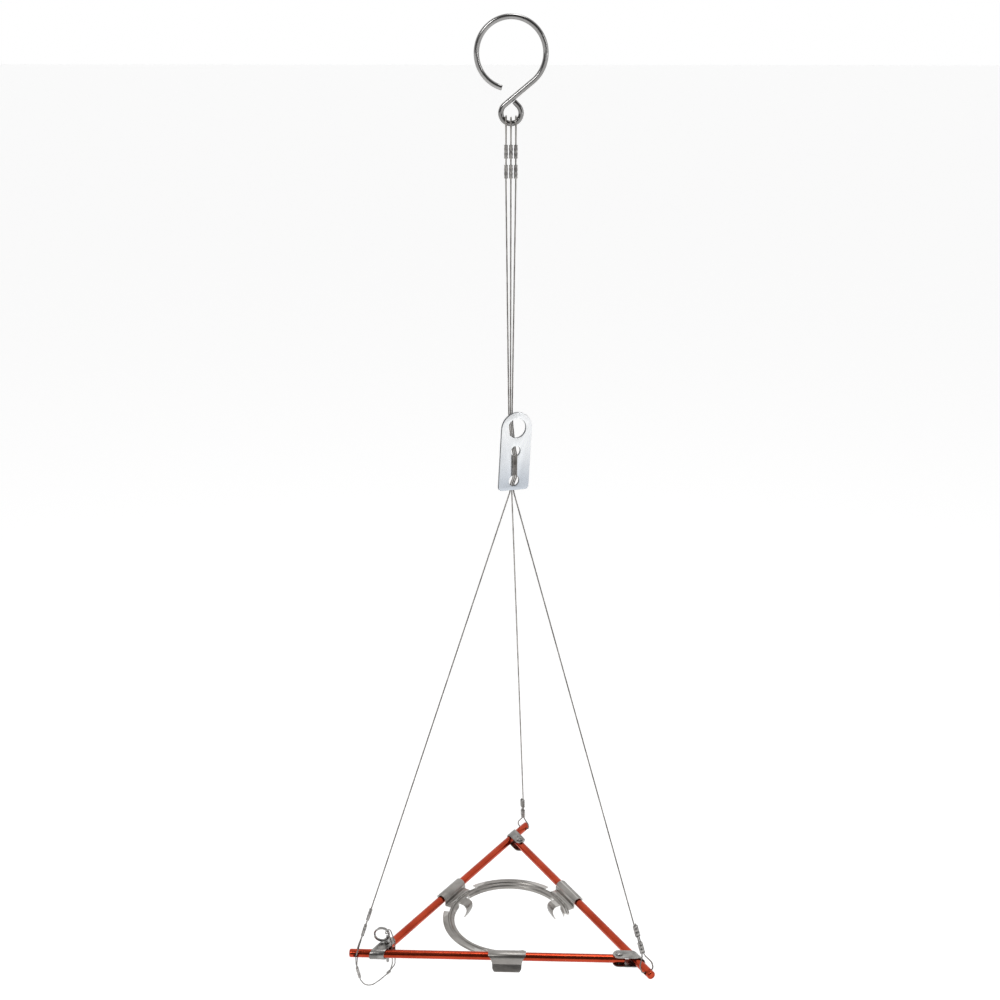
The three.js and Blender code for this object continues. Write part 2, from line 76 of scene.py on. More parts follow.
# ------------------------------------------------------------------ dimensions shared with the CAD, in mm
FRAME_Z, SIDE, ROPE_HOLE, PIN_AT = -641, 184, 17, 9.0
RING_R, EYE_R, WIRE_D, EYE_DROP = 21.55, 6.36, 3.5, 36.0
STRAND, FERRULE_L, UPPER_X = 0.65, 8.5, 3.1
ROPE_D, CORD_D = 1.0, 0.8
PLATE_T, PLATE_YAW, PLATE_LEAN = 1.6, 28, 3.5
PLATE_W, PLATE_H = 22.7, 54.4
PLATE_AT = Vector((3.4, 0, -277.0))
HOLE_MID, HOLE_LOW = 0.3, -20.5
H = SIDE * math.sqrt(3) / 2
CORNER = {
    "left": Vector((-SIDE / 2, -H / 3, FRAME_Z)),
    "right": Vector((SIDE / 2, -H / 3, FRAME_Z)),
    "back": Vector((0, 2 * H / 3, FRAME_Z)),
}
ringZ = -(RING_R - WIRE_D / 2)
eyeZ = ringZ - EYE_DROP
UP = Vector((0, 0, 1))


def filleted(points, step=18):
    P = [Vector(p[:3]) for p in points]
    out = [P[0].copy()]
    for i in range(1, len(P) - 1):
        a = (P[i - 1] - P[i]).normalized()
        b = (P[i + 1] - P[i]).normalized()
        turn = math.pi - a.angle(b)
        if turn < 0.004:
            out.append(P[i].copy())
            continue
        r = points[i][3] if len(points[i]) > 3 else 3
        room = 0.499 * min((P[i - 1] - P[i]).length, (P[i + 1] - P[i]).length)
        cut = min(r * math.tan(turn / 2), room)
        r = cut / math.tan(turn / 2)
        centre = P[i] + (a + b).normalized() * (r / math.cos(turn / 2))
        n = max(1, math.ceil(math.degrees(turn) / step))
        u, w = P[i] + a * cut - centre, P[i] + b * cut - centre
        for k in range(n + 1):
            t, s = k / n, math.sin(turn)
            out.append(centre + u * (math.sin((1 - t) * turn) / s) + w * (math.sin(t * turn) / s))
    out.append(P[-1].copy())
    keep = [out[0]]
    for p in out[1:]:
        if (p - keep[-1]).length > 0.02:
            keep.append(p)
    return keep


ta = Vector((math.cos(math.radians(PLATE_YAW)), math.sin(math.radians(PLATE_YAW)), 0))
cl, sl = math.cos(math.radians(PLATE_LEAN)), math.sin(math.radians(PLATE_LEAN))
ea = ta * cl - UP * sl
eb = ta * sl + UP * cl
ec = ea.cross(eb)


def plate(a, b, c):
    return PLATE_AT + ea * a + eb * b + ec * c


def rope_points(k, free, held):
    F1 = -75.2
    F2 = F1 - FERRULE_L - 3.9
    F2B = F2 - FERRULE_L
    BACK = PLATE_T / 2 + ROPE_D / 2 + 0.3
    CROSS = BACK / math.tan(math.radians(32))
    LOW2 = 14.5
    LOW1 = LOW2 + FERRULE_L + 4.2
    LOW_TOP = LOW1 + FERRULE_L
    x = k * UPPER_X
    zc = eyeZ - math.sqrt(EYE_R ** 2 - x * x)
    lp = 3.7
    d = (CORNER[held] - CORNER[free]).normalized()
    hole = CORNER[free] - d * ROPE_HOLE
    across = Vector((-d.y, d.x, 0))
    if across.y > 0:
        across.negate()
    exit_ = plate(1.3 * k, -28.8, -BACK)
    rope = (exit_ - hole).normalized()
    low = lambda a, b, r: [*(hole + across * a + rope * b), r]
    L = lambda v, r: [*v, r]
    mid, bottom = -0.8 + 1.2 * k, 1.3 * k
    pts = [
        [x, -STRAND, F2B - 1.0, 1], [x, -STRAND, F1 + 1.5, 8], [x, -lp, zc - 2.5, 6], [x, -lp, zc + lp, lp],
        [x, lp, zc + lp, lp], [x, lp, zc - 2.5, 6], [x, STRAND, F1 + 1.5, 8], [x, STRAND, F2B - 6, 40],
        L(plate(-4.3 + 1.2 * k, 23, -BACK), 60),
        L(plate(mid, HOLE_MID + CROSS, -BACK), 3), L(plate(mid, HOLE_MID - CROSS, BACK), 3),
        L(plate(bottom, HOLE_LOW + CROSS, BACK), 3), L(plate(bottom, HOLE_LOW - CROSS, -BACK), 3),
        L(exit_, 8),
        low(STRAND, LOW_TOP + 6, 60), low(STRAND, LOW2 - 1.5, 8), low(5.0, 6.2, 5), low(5.0, 0.5, 2.4), low(-5.0, 0.5, 2.4), low(-5.0, 6.2, 5),
        low(-STRAND, LOW2 - 1.5, 8), low(-STRAND, LOW_TOP + 1.2, 1),
    ]
    info = {"hole": hole, "rope": rope, "across": across, "low1": LOW1, "low2": LOW2, "f1": F1, "f2b": F2B, "x": x}
    return filleted(pts, 10), info


def resample(points, step):
    """the route at even steps, every point on the route"""
    out, acc = [points[0].copy()], 0.0
    total = sum((b - a).length for a, b in zip(points, points[1:]))
    n = max(2, round(total / step))
    step = total / n
    need, i, pos = step, 0, 0.0
    for a, b in zip(points, points[1:]):
        seg = (b - a).length
        while pos + seg >= need - 1e-9 and len(out) < n:
            out.append(a.lerp(b, (need - pos) / seg))
            need += step
        pos += seg
    out.append(points[-1].copy())
    return out


def frames(points):
    """directions across the route that turn with it and never twist"""
    n = len(points)
    tang = [(points[min(i + 1, n - 1)] - points[max(i - 1, 0)]).normalized() for i in range(n)]
    ref = UP if abs(tang[0].z) < 0.9 else Vector((1, 0, 0))
    u = (ref - tang[0] * ref.dot(tang[0])).normalized()
    out = []
    for t in tang:
        u = (u - t * u.dot(t)).normalized()
        out.append((t, u.copy(), t.cross(u)))
    return out


def new_object(name, verts, faces, smooth=True):
    me = bpy.data.meshes.new(name)
    me.from_pydata([tuple(v) for v in verts], [], faces)
    me.validate()
    me.update()
    if smooth:
        for p in me.polygons:
            p.use_smooth = True
    ob = bpy.data.objects.new(name, me)
    bpy.context.scene.collection.objects.link(ob)
    return ob


def stranded(name, points, diameter, strands=6, sides=6, lay=8.0, step=0.7, phase=0.0):
    """wire rope: strands laid in a helix round the route, each one a closed tube. Millimetres in, metres out."""
    pts = resample(points, step)
    fr = frames(pts)
    r = diameter / 6.0
    R = diameter / 2 - r
    verts, faces = [], []
    dist = [0.0]
    for a, b in zip(pts, pts[1:]):
        dist.append(dist[-1] + (b - a).length)
    for s in range(strands + 1):
        rr, off = (R, r * 1.04) if s < strands else (0.0, r)
        base = len(verts)
        for p, (t, u, v), q in zip(pts, fr, dist):
            a = phase + s * 2 * math.pi / strands + 2 * math.pi * q / lay
            c = p + (u * math.cos(a) + v * math.sin(a)) * rr
            for k in range(sides):
                b = 2 * math.pi * k / sides + a
                verts.append((c + (u * math.cos(b) + v * math.sin(b)) * off) * MM)
        n = len(pts)
        for i in range(n - 1):
            for k in range(sides):
                a0, a1 = base + i * sides + k, base + i * sides + (k + 1) % sides
                faces.append((a0, a1, a1 + sides, a0 + sides))
        faces.append(tuple(base + k for k in reversed(range(sides))))
        faces.append(tuple(base + (n - 1) * sides + k for k in range(sides)))
    return new_object(name, verts, faces), pts


# ------------------------------------------------------------------ materials
def material(name):
    m = bpy.data.materials.new(name)
    m.use_nodes = True
    nt = m.node_tree
    b = nt.nodes["Principled BSDF"]
    return m, nt, b


def node(nt, kind, **props):
    n = nt.nodes.new(kind)
    for k, v in props.items():
        setattr(n, k, v)
    return n


def metal(name, colour, dark, rough=0.3, scale=900.0, stretch=(1, 1, 1), bump=0.08, spread=0.12, wear=None, mottle=55, edge0=0.36, edge1=0.60, dents=0.0):
    """bare or finished metal: fine drawn grain, broad tarnish, edges worn bright"""
    m, nt, b = material(name)
    tc = node(nt, "ShaderNodeTexCoord")
    mp = node(nt, "ShaderNodeMapping")
    mp.inputs["Scale"].default_value = stretch
    nt.links.new(tc.outputs["Object"], mp.inputs["Vector"])
    fine = node(nt, "ShaderNodeTexNoise")
    fine.inputs["Scale"].default_value = scale
    fine.inputs["Detail"].default_value = 5
    nt.links.new(mp.outputs["Vector"], fine.inputs["Vector"])
    broad = node(nt, "ShaderNodeTexNoise")
    broad.inputs["Scale"].default_value = mottle
    broad.inputs["Detail"].default_value = 4
    nt.links.new(tc.outputs["Object"], broad.inputs["Vector"])
    mix = node(nt, "ShaderNodeMix", data_type="RGBA")
    mix.inputs[6].default_value = (*dark, 1)
    mix.inputs[7].default_value = (*colour, 1)
    ramp = node(nt, "ShaderNodeMapRange")
    ramp.inputs["From Min"].default_value = edge0
    ramp.inputs["From Max"].default_value = edge1
    nt.links.new(broad.outputs["Fac"], ramp.inputs["Value"])
    nt.links.new(ramp.outputs["Result"], mix.inputs[0])
    last = mix.outputs[2]
    geo = node(nt, "ShaderNodeNewGeometry")
    if wear is not None:
        edge = node(nt, "ShaderNodeMapRange")
        edge.inputs["From Min"].default_value = 0.54
        edge.inputs["From Max"].default_value = 0.62
        nt.links.new(geo.outputs["Pointiness"], edge.inputs["Value"])
        w = node(nt, "ShaderNodeMix", data_type="RGBA")
        w.inputs[7].default_value = (*wear, 1)
        mul = node(nt, "ShaderNodeMath", operation="MULTIPLY")
        mul.inputs[1].default_value = 0.7
        nt.links.new(edge.outputs["Result"], mul.inputs[0])
        nt.links.new(mul.outputs[0], w.inputs[0])
        nt.links.new(last, w.inputs[6])
        last = w.outputs[2]
    nt.links.new(last, b.inputs["Base Color"])
    rr = node(nt, "ShaderNodeMapRange")
    rr.inputs["To Min"].default_value = max(0.03, rough - spread)
    rr.inputs["To Max"].default_value = rough + spread
    nt.links.new(fine.outputs["Fac"], rr.inputs["Value"])
    nt.links.new(rr.outputs["Result"], b.inputs["Roughness"])
    bp = node(nt, "ShaderNodeBump")
    bp.inputs["Strength"].default_value = bump
    bp.inputs["Distance"].default_value = 0.0002
    nt.links.new(fine.outputs["Fac"], bp.inputs["Height"])
    nt.links.new(bp.outputs["Normal"], b.inputs["Normal"])
    if dents:
        vo = node(nt, "ShaderNodeTexVoronoi")
        vo.feature = "SMOOTH_F1"
        vo.inputs["Scale"].default_value = 620
        nt.links.new(tc.outputs["Object"], vo.inputs["Vector"])
        b2 = node(nt, "ShaderNodeBump")
        b2.inputs["Strength"].default_value = dents
        b2.inputs["Distance"].default_value = 0.0006
        nt.links.new(vo.outputs["Distance"], b2.inputs["Height"])
        nt.links.new(bp.outputs["Normal"], b2.inputs["Normal"])
        nt.links.new(b2.outputs["Normal"], b.inputs["Normal"])
    b.inputs["Metallic"].default_value = 1.0
    return m


M_HOOK = metal("hook_polished", (0.36, 0.355, 0.35), (0.22, 0.215, 0.21), 0.15, 2400, bump=0.03, spread=0.05, mottle=40)
M_ROPE = metal("rope_wire", (0.44, 0.42, 0.40), (0.24, 0.225, 0.21), 0.30, 1800, bump=0.05, spread=0.1, mottle=120)
M_FERR = metal("ferrule_pressed", (0.40, 0.385, 0.37), (0.17, 0.165, 0.16), 0.28, 1400, bump=0.25, spread=0.1, wear=(0.7, 0.69, 0.67), mottle=380)
M_ROD = metal("rod_anodised", (0.47, 0.060, 0.025), (0.36, 0.040, 0.016), 0.21, 1500, stretch=(1, 1, 1), bump=0.06, spread=0.07, wear=(0.62, 0.16, 0.08))
M_CRADLE = metal("cradle_spring_steel", (0.315, 0.300, 0.282), (0.225, 0.212, 0.198), 0.33, 1300, bump=0.14, spread=0.1, wear=(0.60, 0.585, 0.56), mottle=70)
M_STRAP = metal("strap_sheet", (0.33, 0.32, 0.305), (0.19, 0.183, 0.175), 0.30, 1300, bump=0.14, spread=0.1, wear=(0.62, 0.61, 0.59), mottle=210, edge0=0.38, edge1=0.60, dents=0.2)
M_RIVET = metal("rivet_head", (0.36, 0.35, 0.34), (0.18, 0.175, 0.17), 0.28, 1600, bump=0.15, spread=0.1, wear=(0.66, 0.65, 0.63), mottle=300)
M_PIN = metal("pin_steel", (0.34, 0.33, 0.32), (0.16, 0.155, 0.15), 0.24, 1600, bump=0.12, spread=0.1, wear=(0.66, 0.65, 0.63), mottle=200)
M_PLATE = metal("plate_satin", (0.73, 0.74, 0.755), (0.66, 0.675, 0.695), 0.27, 1100, stretch=(1, 1, 0.16), bump=0.06, spread=0.06, wear=(0.92, 0.93, 0.95))


def paint_height_light_and_shade(m, low_z, high_z, low, high):
    """painted light: the colour is made brighter towards the top of the part (painted highlight) and darker and bluer
    towards the bottom (painted shade)
    """
    nt = m.node_tree
    b = nt.nodes["Principled BSDF"]
    old = b.inputs["Base Color"].links[0].from_socket
    tc = node(nt, "ShaderNodeTexCoord")
    sx = node(nt, "ShaderNodeSeparateXYZ")
    nt.links.new(tc.outputs["Object"], sx.inputs[0])
    mr = node(nt, "ShaderNodeMapRange", interpolation_type="SMOOTHSTEP")
    mr.inputs["From Min"].default_value = low_z
    mr.inputs["From Max"].default_value = high_z
    nt.links.new(sx.outputs["Z"], mr.inputs["Value"])
    tint = node(nt, "ShaderNodeMix", data_type="RGBA")
    tint.inputs[6].default_value = (*low, 1)
    tint.inputs[7].default_value = (*high, 1)
    nt.links.new(mr.outputs["Result"], tint.inputs[0])
    mul = node(nt, "ShaderNodeMix", data_type="RGBA", blend_type="MULTIPLY")
    mul.inputs[0].default_value = 1.0
    nt.links.new(old, mul.inputs[6])
    nt.links.new(tint.outputs[2], mul.inputs[7])
    nt.links.new(mul.outputs[2], b.inputs["Base Color"])


# the adjuster plate gets a painted highlight on its upper part and painted shade on its lower part
paint_height_light_and_shade(M_PLATE, -0.304, -0.262, (0.78, 0.82, 0.87), (1.27, 1.27, 1.26))
# dark colour for the plate's edge faces: painted shade
M_EDGE_PAINTED_SHADE = metal("plate_edge_painted_shade", (0.20, 0.205, 0.215), (0.12, 0.125, 0.13), 0.30, 1100, bump=0.1, spread=0.1, mottle=160)

# ------------------------------------------------------------------ ropes, first
CORDS = []
for name, k, free, held, lower_body in [
    ("left", -1, "left", "right", "front"),
    ("back", 0, "back", "left", "left"),
    ("right", 1, "right", "back", None),
]:
    pts, info = rope_points(k, free, held)
    # cut the route where the rope sits in the plate and, on two ropes, half way down
    cut1 = min(range(len(pts)), key=lambda i: (pts[i] - plate(1.3 * k * 0.5, (HOLE_MID + HOLE_LOW) / 2, PLATE_T)).length)
    dense = resample(pts, 0.5)
    mid_target = plate(0, (HOLE_MID + HOLE_LOW) / 2, PLATE_T)
    cut1 = min(range(len(dense)), key=lambda i: (dense[i] - mid_target).length)
    lower_z = -480.0
    cut2 = next(i for i in range(cut1, len(dense)) if dense[i].z < lower_z)
    parts = [("upper", dense[: cut1 + 1], "hanger", "adjuster", (0, 0, -0.105), (0, 0, -0.245))]
    if lower_body:
        parts.append(("lower", dense[cut1: cut2 + 1], "adjuster", "hanger", (0, 0, -0.308), (0, 0, -0.45)))
        a = dense[cut2] * MM
        b = (info["hole"] + info["rope"] * (info["low1"] + 14)) * MM
        parts.append(("end", dense[cut2:], "hanger", lower_body, tuple(a), tuple(b)))
    else:
        parts.append(("lower", dense[cut1:], "adjuster", "hanger", (0, 0, -0.308), (0, 0, -0.45)))
    for tag, run, a, b, s, e in parts:
        ob, path = stranded(f"rope_{name}_{tag}_wire", run, ROPE_D)
        ob.data.materials.append(M_ROPE)
        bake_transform(ob)
        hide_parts(f"rope_{name}")
        cord_path = [tuple(p * MM) for p in resample(run, 1.0)]

# the lanyard from the front rod to the pull ring
PIN = CORNER["left"] - (CORNER["left"] - CORNER["back"]).normalized() * PIN_AT
EYELET = 7.2
SPLIT_R, TILT = 5.2, 45
split_at = PIN + Vector((0, 0, EYELET)) + Vector((-math.sin(math.radians(TILT)), 0, math.cos(math.radians(TILT)))) * SPLIT_R


def lanyard_points():
    hole = CORNER["left"] + Vector((-ROPE_HOLE, 0, 0))
    at = lambda dx, dy, dz, r: [hole.x + dx, hole.y + dy, FRAME_Z + dz, r]
    f0, f1, g = (0, 0, -12.3), (1.9, 0, -20.6), 0.55
    a = math.radians(30)
    out = Vector((math.cos(a), 0, math.sin(a)))
    c0 = split_at + out * SPLIT_R
    q = 1.95
    rnd = lambda y, o, r: [*(c0 + Vector((0, y, 0)) + out * o), r]
    cr0 = Vector((-87.6, -49.6, FRAME_Z - 19.6))
    cr1 = Vector((-85.3, -49.3, FRAME_Z - 17.3))
    ax = (cr1 - cr0).normalized()
    side = (Vector((0, 1, 0)) - ax * ax.y).normalized()
    crimp = lambda p, k, r: [*(p + side * (k * 0.5)), r]
    pts = [
        at(f1[0] + 0.25, g, f1[2] - 1.0, 1), at(f0[0] - 0.2, g, f0[2] + 0.9, 5), at(0, 3.9, -6.5, 4), at(0, 3.9, -0.65, 1.9), at(0, -3.9, -0.65, 1.9), at(0, -3.9, -6.5, 4),
        at(f0[0] - 0.2, -g, f0[2] + 0.9, 5), at(f1[0] + 0.5, -g, f1[2] - 2.2, 7),
        [-103.6, -52.9, FRAME_Z - 27.6, 7], [-98.4, -51.6, FRAME_Z - 28.4, 9], [-93.0, -50.6, FRAME_Z - 24.6, 10],
        crimp(cr0, -1, 4), crimp(cr1, -1, 3), [-83.6, -49.2, FRAME_Z - 11, 5], [-83.6, -49.2, FRAME_Z + 6.0, 3],
        rnd(-q, 0.6, 3), rnd(-q, -q, 1.8), rnd(q, -q, 1.8), rnd(q, 1.6, 3), [-81.4, -48.2, FRAME_Z + 6.4, 3],
        [-81.4, -49.2, FRAME_Z + 1, 8], [-81.6, -49.2, FRAME_Z - 11.5, 5], crimp(cr1, 1, 3), crimp(cr0 - ax * 0.4, 1, 1),
    ]
    return filleted(pts, 10)


lan = resample(lanyard_points(), 0.3)
ob, path = stranded("lanyard_wire", lan, CORD_D, lay=6.5, step=0.55)
ob.data.materials.append(M_ROPE)
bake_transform(ob)
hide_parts("lanyard")
lp = [tuple(p * MM) for p in resample(lan, 0.5)]

# ------------------------------------------------------------------ mesh tools, working in millimetres
def basis(x, y, z, at):
    m = Matrix.Identity(4)
    for i, v in enumerate((x, y, z, at)):
        for j in range(3):
            m[j][i] = v[j]
    return m


def raw(name, verts, faces):
    me = bpy.data.meshes.new(name)
    me.from_pydata([tuple(v) for v in verts], [], faces)
    me.update()
    ob = bpy.data.objects.new(name, me)
    bpy.context.scene.collection.objects.link(ob)
    bm = bmesh.new()
    bm.from_mesh(me)
    bmesh.ops.recalc_face_normals(bm, faces=bm.faces)
    bm.to_mesh(me)
    bm.free()
    return ob


def prism(name, pts, z0, z1, m=None):
    n = len(pts)
    v = [Vector((p[0], p[1], z0)) for p in pts] + [Vector((p[0], p[1], z1)) for p in pts]
    f = [tuple(reversed(range(n))), tuple(range(n, 2 * n))] + [(i, (i + 1) % n, n + (i + 1) % n, n + i) for i in range(n)]
    m = m or Matrix.Identity(4)
    return raw(name, [m @ p for p in v], f)


def lathe(name, profile, seg, m=None, loop=False):
    """profile of (radius, height) round local z; it starts and ends on the axis unless it is a loop"""
    m = m or Matrix.Identity(4)
    v, rows = [], []
    for r, h in profile:
        if r < 1e-6 and not loop:
            rows.append([len(v)])
            v.append(m @ Vector((0, 0, h)))
        else:
            rows.append(list(range(len(v), len(v) + seg)))
            for i in range(seg):
                a = 2 * math.pi * i / seg
                v.append(m @ Vector((r * math.cos(a), r * math.sin(a), h)))
    f = []
    pairs = list(zip(rows, rows[1:])) + ([(rows[-1], rows[0])] if loop else [])
    for a, b in pairs:
        for i in range(seg):
            j = (i + 1) % seg
            if len(a) == 1 and len(b) == 1:
                continue
            if len(a) == 1:
                f.append((a[0], b[i], b[j]))
            elif len(b) == 1:
                f.append((a[i], a[j], b[0]))
            else:
                f.append((a[i], a[j], b[j], b[i]))
    return raw(name, v, f)


def circle(cx, cy, r, n):
    return [(cx + r * math.cos(2 * math.pi * i / n), cy + r * math.sin(2 * math.pi * i / n)) for i in range(n)]


def arc(cx, cy, r, a0, a1, n):
    return [(cx + r * math.cos(math.radians(a0 + (a1 - a0) * i / n)), cy + r * math.sin(math.radians(a0 + (a1 - a0) * i / n))) for i in range(n + 1)]


def rounded(pts, r, n=4, sharp=12):
    """the same outline with its corners rounded"""
    out = []
    N = len(pts)
    for i in range(N):
        p = Vector(pts[i])
        a, b = Vector(pts[i - 1]) - p, Vector(pts[(i + 1) % N]) - p
        la, lb = a.length, b.length
        if la < 1e-6 or lb < 1e-6:
            continue
        a.normalize(); b.normalize()
        turn = math.pi - a.angle(b)
        if math.degrees(turn) < sharp:
            out.append(tuple(p))
            continue
        cut = min(r * math.tan(turn / 2), 0.45 * la, 0.45 * lb)
        s, e = p + a * cut, p + b * cut
        for k in range(n + 1):
            t = k / n
            out.append(tuple(s * (1 - t) ** 2 + p * 2 * t * (1 - t) + e * t ** 2))
    return out


def cut(a, b, op="DIFFERENCE"):
    mod = a.modifiers.new("b", "BOOLEAN")
    mod.operation = op
    mod.solver = "EXACT"
    mod.object = b
    dg = bpy.context.evaluated_depsgraph_get()
    me = bpy.data.meshes.new_from_object(a.evaluated_get(dg))
    a.modifiers.clear()
    old, a.data = a.data, me
    bpy.data.meshes.remove(old)
    bpy.data.objects.remove(b, do_unlink=True)
    return a


def soften(ob, width=0.12, seg=2, angle=30):
    """clean the boolean's mesh and round its edges"""
    bm = bmesh.new()
    bm.from_mesh(ob.data)
    bmesh.ops.remove_doubles(bm, verts=bm.verts, dist=0.002)
    bmesh.ops.dissolve_limit(bm, angle_limit=math.radians(0.4), verts=bm.verts, edges=bm.edges)
    bm.to_mesh(ob.data)
    bm.free()
    mod = ob.modifiers.new("bevel", "BEVEL")
    mod.width = width
    mod.segments = seg
    mod.limit_method = "ANGLE"
    mod.angle_limit = math.radians(angle)
    dg = bpy.context.evaluated_depsgraph_get()
    me = bpy.data.meshes.new_from_object(ob.evaluated_get(dg))
    ob.modifiers.clear()
    old, ob.data = ob.data, me
    bpy.data.meshes.remove(old)
    return ob


def place(ob, body, mat, slot_name, *nodes, sharp=38):
    me = ob.data
    for v in me.vertices:
        v.co = v.co * MM
    for p in me.polygons:
        p.use_smooth = True
    me.set_sharp_from_angle(angle=math.radians(sharp))
    me.materials.clear()
    me.materials.append(mat)
    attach(ob, body)
    if nodes:
        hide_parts(*nodes)
    return ob


def sweep(name, points, r, sides, chamfer=0.3):
    """round wire with broken edges at both ends"""
    pts = [p.copy() for p in points]
    t0 = (pts[1] - pts[0]).normalized()
    t1 = (pts[-1] - pts[-2]).normalized()
    pts = [pts[0], pts[0] + t0 * chamfer * 0.4, pts[0] + t0 * chamfer] + [p for p in pts[1:-1] if (p - points[0]).length > chamfer * 1.5 and (p - points[-1]).length > chamfer * 1.5] + [pts[-1] - t1 * chamfer, pts[-1] - t1 * chamfer * 0.4, pts[-1]]
    rad = [r - chamfer, r - chamfer * 0.35, r] + [r] * (len(pts) - 6) + [r, r - chamfer * 0.35, r - chamfer]
    fr = frames(pts)
    v, f = [], []
    for p, (t, u, w), q in zip(pts, fr, rad):
        for k in range(sides):
            a = 2 * math.pi * k / sides
            v.append(p + (u * math.cos(a) + w * math.sin(a)) * q)
    for i in range(len(pts) - 1):
        for k in range(sides):
            a, b = i * sides + k, i * sides + (k + 1) % sides
            f.append((a, b, b + sides, a + sides))
    f.append(tuple(reversed(range(sides))))
    f.append(tuple((len(pts) - 1) * sides + k for k in range(sides)))
    return raw(name, v, f)


# ------------------------------------------------------------------ hook
def hook_points():
    reach = math.acos((RING_R + EYE_R) / EYE_DROP)
    leave, meet = -90 + math.degrees(reach), 90 + math.degrees(reach)
    pts = [Vector((x, 0, z)) for x, z in arc(0, ringZ, RING_R, 255, leave, 120)]
    pts += [Vector((x, 0, z)) for x, z in arc(0, eyeZ, EYE_R, meet, 405, 64)]
    last = pts[-1]
    t = Vector((math.cos(math.radians(leave)), 0, math.sin(math.radians(leave)))) * RING_R + Vector((0, 0, ringZ))
    along = (Vector((math.cos(math.radians(meet)), 0, math.sin(math.radians(meet)))) * EYE_R + Vector((0, 0, eyeZ)) - t).normalized()
    nrm = Vector((-along.z, 0, along.x))
    off = abs((last - t).dot(nrm))
    hd = Vector((-math.sqrt(0.5), 0, math.sqrt(0.5)))
    end = last + hd * ((off - WIRE_D / 2 - 0.35) / abs(hd.dot(nrm)))
    for k in (0.33, 0.66, 1.0):
        pts.append(last.lerp(end, k))
    return pts


place(sweep("hook_wire", hook_points(), WIRE_D / 2, 40, 0.35), "hook", M_HOOK, "hook_steel", "hook")

# ------------------------------------------------------------------ rods
RODS = {
    "front_rod": ("left", "right", 7.3, "front"),
    "right_rod": ("right", "back", 7.3, "hanger"),
    "left_rod": ("back", "left", 6.2, "left"),
}


def rod_dir(n):
    return (CORNER[RODS[n][1]] - CORNER[RODS[n][0]]).normalized()


for n, (free, held, short, body) in RODS.items():
    d = rod_dir(n)
    side = Vector((-d.y, d.x, 0))
    start = CORNER[free] - d * 22
    L = 22 + SIDE - short
    R = 3.0
    prof = [(0, 0.25), (1.55, 0.25), (1.7, 0.12), (1.85, 0.0), (R - 0.9, 0), (R - 0.5, 0.10), (R - 0.18, 0.42), (R - 0.04, 0.8), (R, 1.15)]
    prof += [(R, 1.15 + (L - 1.75) * k / 24) for k in range(1, 24)]
    prof += [(R, L - 0.6), (R - 0.08, L - 0.3), (R - 0.3, L - 0.08), (R - 0.6, L), (1.85, L), (1.7, L - 0.12), (1.55, L - 0.25), (0, L - 0.25)]
    ob = lathe(n + "_tube", prof, 56, basis(side, UP, d, start))
    hole = start + d * (22 - ROPE_HOLE)
    # countersunk rope hole
    ob = cut(ob, lathe("c", [(0, -5), (2.3, -5), (2.3, -3.4), (1.72, -2.55), (1.3, -2.2), (1.3, 2.2), (1.72, 2.55), (2.3, 3.4), (2.3, 5), (0, 5)], 32, basis(d, UP * -1, side, hole)))
    if n != "left_rod":
        at = CORNER[held] - d * 11.5
        ob = cut(ob, prism("c", circle(0, 0, 1.7, 32), -6, 6, Matrix.Translation(at)))
    else:
        at = CORNER[held] - d * PIN_AT
        w = 1.6
        shape = [(-w, 5), (-w, 0)] + arc(0, 0, w, 195, 285, 8) + [(w * 0.5, -w * 0.866), (w * 0.5 + 5.2, -w * 0.866 + 3), (7, 5)]
        ob = cut(ob, prism("c", shape, -6, 6, basis(d, Vector((-d.y, d.x, 0)), UP, at)))
    place(ob, body, M_ROD, "rod_red", n, sharp=32)

# ------------------------------------------------------------------ corner straps and rivets
for n, corner, wrapped, held, at_, hole_r, body in [
    ("right_strap", "right", "right_rod", "front_rod", 11.5, 1.7, "hanger"),
    ("back_strap", "back", "left_rod", "right_rod", 11.5, 1.7, "left"),
    ("left_strap", "left", "front_rod", "left_rod", PIN_AT, 1.55, "front"),
]:
    c = CORNER[corner]
    u = rod_dir(wrapped)
    v = rod_dir(held) * -1
    nn = Vector((-u.y, u.x, 0))
    if nn.dot(v) < 0:
        nn.negate()
    ri, ro, far = 3.3, 4.1, 24
    prof = [(far, ro)] + arc(0, 0, ro, 90, 270, 32) + [(far, -ro), (far, -ri)] + arc(0, 0, ri, 270, 90, 28) + [(far, ri)]
    ob = prism(n + "_sheet", prof, -22, 22, basis(nn, UP, nn.cross(UP), c))
    w = 4.4
    plan = [(-14, -w)] + arc(11.5, 0, w, -90, 90, 28) + [(-14, w)]
    ob = cut(ob, prism("c", plan, -8, 8, basis(v, UP.cross(v), UP, c)), "INTERSECT")
    at = c + v * at_
    ob = cut(ob, prism("c", circle(0, 0, hole_r, 32), -8, 8, Matrix.Translation(at)))
    place(soften(ob, 0.16, 3), body, M_STRAP, "strap_steel", n)

for n, rod in (("right_rivet", "front_rod"), ("back_rivet", "right_rod")):
    at = CORNER[RODS[rod][1]] - rod_dir(rod) * 11.5
    z0, r = 4.22, 2.6
    dome = [(r * math.sin(math.radians(a)), z0 + 0.12 + 0.98 * math.cos(math.radians(a))) for a in range(0, 91, 9)]
    top = [(0, dome[0][1] - 0.10), (0.55, dome[0][1] - 0.06), (0.8, dome[1][1] + 0.0)] + dome[3:]
    prof = [(q, -h) for q, h in top] + [(r, -z0), (1.5, -z0), (1.5, z0), (r, z0)] + [(q, h) for q, h in reversed(top)]
    place(lathe(n + "_head", prof, 40, Matrix.Translation(at)), "hanger", M_RIVET, "rivet_steel", n, sharp=50)

